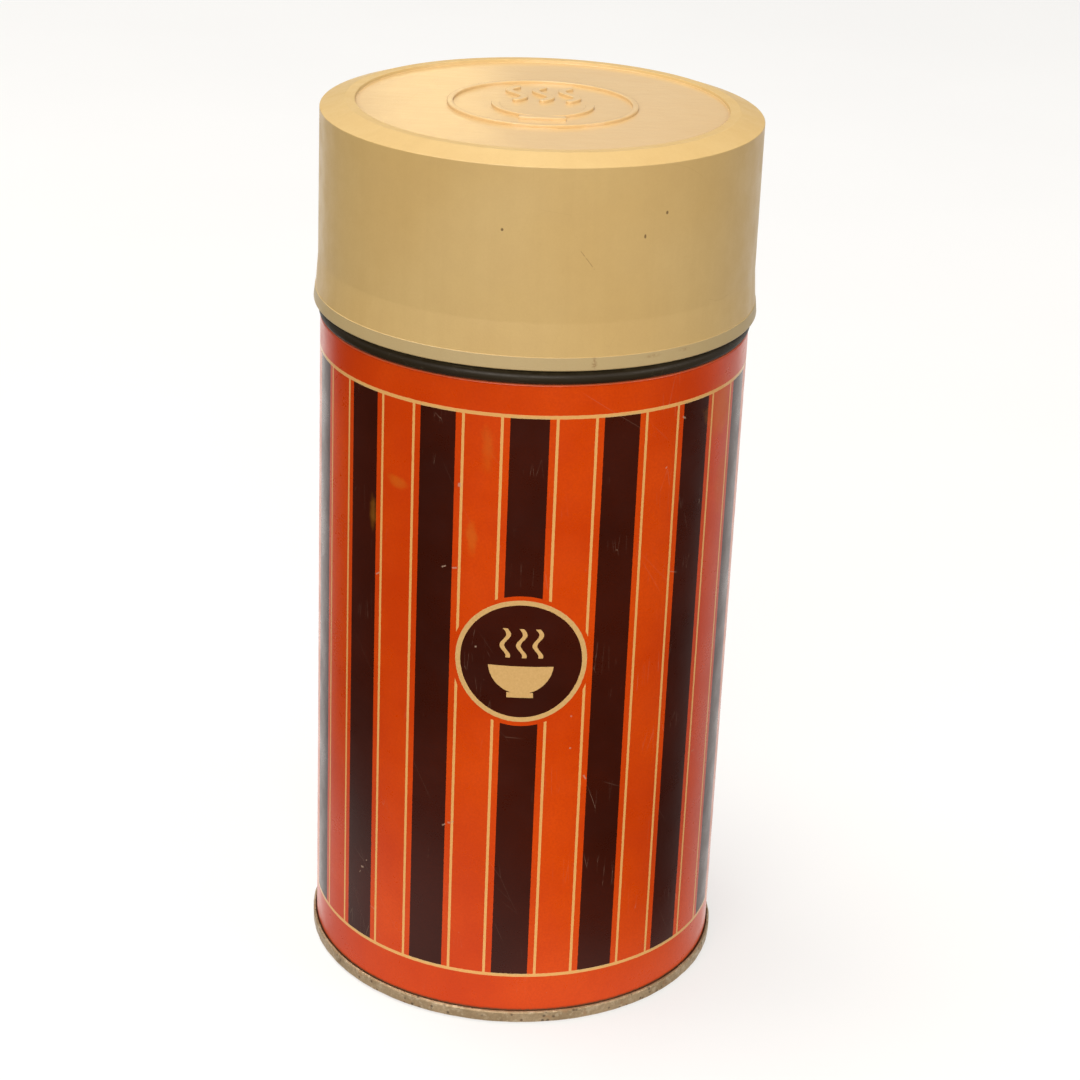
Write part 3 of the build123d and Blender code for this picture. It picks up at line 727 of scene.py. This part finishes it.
def cup_shift(a, r, z):
    phi = math.degrees(a) - 90.0
    if abs(r - 40.6) < 0.02 and 142.6 < z < 177.5:
        return r - cup_ridge(phi, z)
    if r > 42.9 and z < 180.3:
        # Moulded walls wander by a few hundredths.
        return r + 0.03 * math.sin(2 * a + 0.4) * min(1.0, (z - 142.0) / 10.0)
    return r


cup = lathe("cup_outer", outline([
    (0, 181.20), (0, 179.0), (40.6, 179.0, 1.2), (40.6, 156.0), (40.6, 142.0, 0.5),
    (44.10, 142.0, 0.25), (43.82, 144.50, 0.06), (43.70, 144.58, 0.04), (43.25, 151.0, 9.0),
    (43.15, 180.20, 0.18), (38.34, 181.80, 0.5), (36.35, 181.80, 0.15), (36.20, 181.20, 0.2), (20.0, 181.20),
], 10, dense=((40.5, 40.7, 143.0, 155.5, 0.16),)), SEG, cup_shift)
smooth(cup, 32)
paint(cup, MAT["cream_plastic"])
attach(cup, "cup")
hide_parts("cup_shell")

liner = lathe("cup_lining", outline([
    (0, 178.20), (0, 177.0), (37.4, 177.0, 3.0), (37.4, 155.55, 0.2),
    (40.55, 155.55, 0.2), (40.55, 156.85, 0.2), (38.60, 156.85, 0.6), (38.60, 178.20, 4.2),
], 8), SEG // 2)
smooth(liner)
paint(liner, MAT["liner_plastic"])
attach(liner, "cup_lift")
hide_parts("cup_liner")


# Raised motif on the cup's top: ring, bowl and three wavy lines of steam, with softened edges.
def relief(name, polys, z0, z1, ease=0.14):
    verts, faces = [], []
    for poly in polys:
        k, n = len(verts), len(poly)
        verts += [(x * MM, y * MM, z0 * MM) for x, y in poly] + [(x * MM, y * MM, z1 * MM) for x, y in poly]
        faces += [tuple(reversed(range(k, k + n))), tuple(range(k + n, k + 2 * n))]
        faces += [(k + i, k + (i + 1) % n, k + n + (i + 1) % n, k + n + i) for i in range(n)]
    me = bpy.data.meshes.new(name)
    me.from_pydata(verts, [], faces)
    me.validate()
    me.update()
    o = bpy.data.objects.new(name, me)
    bpy.context.scene.collection.objects.link(o)
    face_out(o)
    b = o.modifiers.new("ease", "BEVEL")
    b.width = ease * MM
    b.segments = 3
    b.limit_method = "ANGLE"
    b.angle_limit = math.radians(50)
    o.data.polygons.foreach_set("use_smooth", [True] * len(o.data.polygons))
    o.data.set_sharp_from_angle(angle=math.radians(45))
    return o


def arc(cx, cy, r, a0, a1, n):
    return [(cx + r * math.cos(math.radians(a0 + (a1 - a0) * i / n)), cy + r * math.sin(math.radians(a0 + (a1 - a0) * i / n))) for i in range(n + 1)]


def ribbon(path, w):
    left, right = [], []
    n = len(path)
    for i, (x, y) in enumerate(path):
        ax, ay = path[max(0, i - 1)]
        bx, by = path[min(n - 1, i + 1)]
        dx, dy = bx - ax, by - ay
        ln = math.hypot(dx, dy)
        nx, ny = -dy / ln * w / 2, dx / ln * w / 2
        left.append((x + nx, y + ny))
        right.append((x - nx, y - ny))
    def cap(c, start):
        return [(c[0] + w / 2 * math.cos(start + math.pi * k / 8), c[1] + w / 2 * math.sin(start + math.pi * k / 8)) for k in range(1, 8)]
    dx, dy = path[-1][0] - path[-2][0], path[-1][1] - path[-2][1]
    end = cap(path[-1], math.atan2(dy, dx) - math.pi / 2)
    dx, dy = path[0][0] - path[1][0], path[0][1] - path[1][1]
    begin = cap(path[0], math.atan2(dy, dx) - math.pi / 2)
    return right + end + left[::-1] + begin


DISC_Z = 181.20
RELIEF = 0.55
ring = lathe("cup_ring", outline([(17.4, DISC_Z - 0.2), (18.6, DISC_Z - 0.2), (18.6, DISC_Z + RELIEF, 0.16), (17.4, DISC_Z + RELIEF, 0.16)], 20), SEG // 2)
smooth(ring, 60)
shapes = [arc(0, -1.0, 10.0, 180, 360, 60) + [(8.27, -1.0), (8.27, -1.9)] + arc(0, -1.9, 8.27, 0, -180, 52)[1:-1] + [(-8.27, -1.9), (-8.27, -1.0)],
          [(-4.5, -12.6), (4.5, -12.6), (4.5, -10.7), (-4.5, -10.7)]]
for dx in (-5.2, 0.0, 5.2):
    shapes.append(ribbon([(dx + 1.5 * math.sin(2 * math.pi * t / 48), 1.8 + 10.4 * t / 48) for t in range(49)], 1.5))
motif = relief("cup_motif", shapes, DISC_Z - 0.2, DISC_Z + RELIEF)
for o in (ring, motif):
    paint(o, MAT["cream_plastic"])
    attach(o, "cup")
    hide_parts("cup_shell")

# CAD pieces shown as they are, smoothed where their faces meet gently.
def soften(o, angle=35.0):
    name = "soften_by_angle"
    ng = bpy.data.node_groups.get(name)
    if ng is None:
        ng = bpy.data.node_groups.new(name, "GeometryNodeTree")
        ng.interface.new_socket("Geometry", in_out="INPUT", socket_type="NodeSocketGeometry")
        ng.interface.new_socket("Geometry", in_out="OUTPUT", socket_type="NodeSocketGeometry")
        gi, go = ng.nodes.new("NodeGroupInput"), ng.nodes.new("NodeGroupOutput")
        weld = ng.nodes.new("GeometryNodeMergeByDistance")
        weld.inputs["Distance"].default_value = 1e-6
        face = ng.nodes.new("GeometryNodeSetShadeSmooth")
        face.domain = "FACE"
        face.inputs["Shade Smooth"].default_value = True
        edge = ng.nodes.new("GeometryNodeSetShadeSmooth")
        edge.domain = "EDGE"
        edge.inputs["Shade Smooth"].default_value = False
        ang = ng.nodes.new("GeometryNodeInputMeshEdgeAngle")
        cmp_ = ng.nodes.new("FunctionNodeCompare")
        cmp_.data_type = "FLOAT"
        cmp_.operation = "GREATER_THAN"
        cmp_.inputs[1].default_value = math.radians(angle)
        L = ng.links.new
        L(gi.outputs[0], weld.inputs[0])
        L(weld.outputs[0], face.inputs[0])
        L(face.outputs[0], edge.inputs[0])
        L(ang.outputs[0], cmp_.inputs[0])
        L(cmp_.outputs[0], edge.inputs["Selection"])
        L(edge.outputs[0], go.inputs[0])
    m = o.modifiers.new("soften", "NODES")
    m.node_group = ng


for node, slot in (("base_cushion", "rubber"), ("glass_spacers", "spacer_board"), ("stopper_body", "stopper_plastic")):
    o = nodes[node]
    soften(o)
    o.data.materials.clear()
    o.data.materials.append(MAT[slot])

# ------------------------------------------------------------------ stage, light, camera


def plane(name, sx, sy, z):
    me = bpy.data.meshes.new(name)
    me.from_pydata([(-sx, -sy, z), (sx, -sy, z), (sx, sy, z), (-sx, sy, z)], [], [(0, 1, 2, 3)])
    o = bpy.data.objects.new(name, me)
    bpy.context.scene.collection.objects.link(o)
    return o


floor = plane("floor", 6, 6, -0.0002)
fg = G("floor_paper")
fn = fg.noise(0.004, 3, 0.5, lo=0.3, hi=0.7)
fmat = fg.set(color=fg.mix(fn, (0.86, 0.86, 0.855, 1), (0.90, 0.90, 0.895, 1)), rough=0.75 + fg.noise(0.4, 4, 0.6) * 0.1, normal=fg.bump(fg.noise(0.8, 4, 0.6), 0.05, 0.3))
lp = fg.nt.nodes.new("ShaderNodeLightPath")
# The sheet is faintly self-lit to the camera, as a backlit sweep is, so that it stays pale to the corners.
glow = fg.nt.nodes.new("ShaderNodeEmission")
glow.inputs["Color"].default_value = (1.0, 0.995, 0.985, 1)
glow.inputs["Strength"].default_value = 1.0
lit = fg.nt.nodes.new("ShaderNodeMixShader")
lit.inputs[0].default_value = 0.60
fg.nt.links.new(fg.p.outputs[0], lit.inputs[1])
fg.nt.links.new(glow.outputs[0], lit.inputs[2])
# What lights the object from below and is mirrored in its sides: a pale table close round it, a pale room behind and to the right, and a dim room in front.
geo = fg.nt.nodes.new("ShaderNodeNewGeometry")
inc = fg.nt.nodes.new("ShaderNodeSeparateXYZ")
fg.nt.links.new(geo.outputs["Incoming"], inc.inputs[0])
dx, dy = V(fg, inc.outputs[0]) * -1.0, V(fg, inc.outputs[1]) * -1.0
away = dy / ((dx * dx + dy * dy).sqrt() + 0.0001)      # 1 straight behind, 0 beside, -1 in front
left_room = fg.ramp(away, 0.66, 0.88) * 1.60
right_room = (fg.ramp(away, 0.20, 0.60) * 0.70).max(fg.ramp(away, 0.70, 0.88) * 1.35)
room = left_room * dx.lt(0.0) + right_room * (1.0 - dx.lt(0.0))
reach = (fg.x * fg.x + fg.y * fg.y).sqrt() - 42.75
table = fg.ramp(reach + (fg.x * 0.6).max(-22.0), 78.0, 14.0) * 0.55
under = fg.nt.nodes.new("ShaderNodeEmission")
under.inputs["Color"].default_value = (1.0, 0.97, 0.93, 1)
fg.put(under.inputs["Strength"], room.max(table).max(0.04))
mixs = fg.nt.nodes.new("ShaderNodeMixShader")
fg.put(mixs.inputs[0], V(fg, lp.outputs["Is Camera Ray"]))
fg.nt.links.new(under.outputs[0], mixs.inputs[1])
fg.nt.links.new(lit.outputs[0], mixs.inputs[2])
fg.nt.links.new(mixs.outputs[0], fg.out.inputs[0])
floor.data.materials.append(fmat)

world = bpy.data.worlds.new("studio")
bpy.context.scene.world = world
world.use_nodes = True
wt = world.node_tree
wt.nodes.clear()
wo = wt.nodes.new("ShaderNodeOutputWorld")
wb = wt.nodes.new("ShaderNodeBackground")
wb.inputs["Color"].default_value = (1.0, 0.97, 0.93, 1)
wt.links.new(wb.outputs[0], wo.inputs[0])
# The room: its brightness wanders in every direction, as a room seen in a glossy lid does.
wc = wt.nodes.new("ShaderNodeTexCoord")
wm = wt.nodes.new("ShaderNodeVectorMath")
wm.operation = "MULTIPLY"
wm.inputs[1].default_value = (1.0, 1.0, 2.2)
wn = wt.nodes.new("ShaderNodeTexNoise")
wn.inputs["Scale"].default_value = 7.0
wn.inputs["Detail"].default_value = 3.0
wr = wt.nodes.new("ShaderNodeMapRange")
wr.interpolation_type = "SMOOTHSTEP"
wr.inputs[1].default_value, wr.inputs[2].default_value = 0.36, 0.64
wr.inputs[3].default_value, wr.inputs[4].default_value = 0.16, 0.60
wt.links.new(wc.outputs["Generated"], wm.inputs[0])
wt.links.new(wm.outputs[0], wn.inputs["Vector"])
wt.links.new(wn.outputs[0], wr.inputs[0])
wt.links.new(wr.outputs[0], wb.inputs["Strength"])


def area(name, loc, target, size, power, color=(1, 1, 1)):
    d = bpy.data.lights.new(name, "AREA")
    d.shape = "RECTANGLE"
    d.size, d.size_y = size
    d.energy = power
    d.color = color
    o = bpy.data.objects.new(name, d)
    o.location = loc
    o.rotation_euler = (Vector(target) - Vector(loc)).to_track_quat("-Z", "Y").to_euler()
    bpy.context.scene.collection.objects.link(o)
    return o


area("key_top", (-0.45, 0.15, 2.0), (0, 0, 0.12), (1.1, 1.1), 30.0, (1.0, 0.97, 0.92))
area("front_fill", (-0.32, -1.52, 0.75), (0, 0, 0.09), (1.5, 0.6), 23.0, (1.0, 0.95, 0.88))
area("right_fill", (1.20, -0.55, 0.55), (0, 0, 0.10), (0.6, 0.6), 5.5, (1.0, 0.95, 0.88))
area("glare", (-0.105, 2.0, 0.640), (0, 0, 0.18), (0.12, 0.05), 0.085, (1.0, 0.72, 0.26))

cam_d = bpy.data.cameras.new("camera")
cam_d.sensor_width = 36.0
cam_d.lens = 86.535
cam_d.clip_start = 0.01
cam = bpy.data.objects.new("camera", cam_d)
bpy.context.scene.collection.objects.link(cam)
pan, tilt, roll = (math.radians(v) for v in (0.3418, 23.0635, 2.3787))
fwd = Vector((math.sin(pan) * math.cos(tilt), math.cos(pan) * math.cos(tilt), -math.sin(tilt)))
right = Vector((math.cos(pan), -math.sin(pan), 0))
up = right.cross(fwd)
r2 = math.cos(roll) * right + math.sin(roll) * up
u2 = -math.sin(roll) * right + math.cos(roll) * up
m = Matrix((
    (r2.x, u2.x, -fwd.x, 0.0),
    (r2.y, u2.y, -fwd.y, -11.66334 * 0.0425),
    (r2.z, u2.z, -fwd.z, 7.073987 * 0.0425),
    (0, 0, 0, 1),
))
cam.matrix_world = m
bpy.context.scene.camera = cam
bpy.context.scene.view_settings.view_transform = "Standard"
bpy.context.scene.view_settings.look = "None"
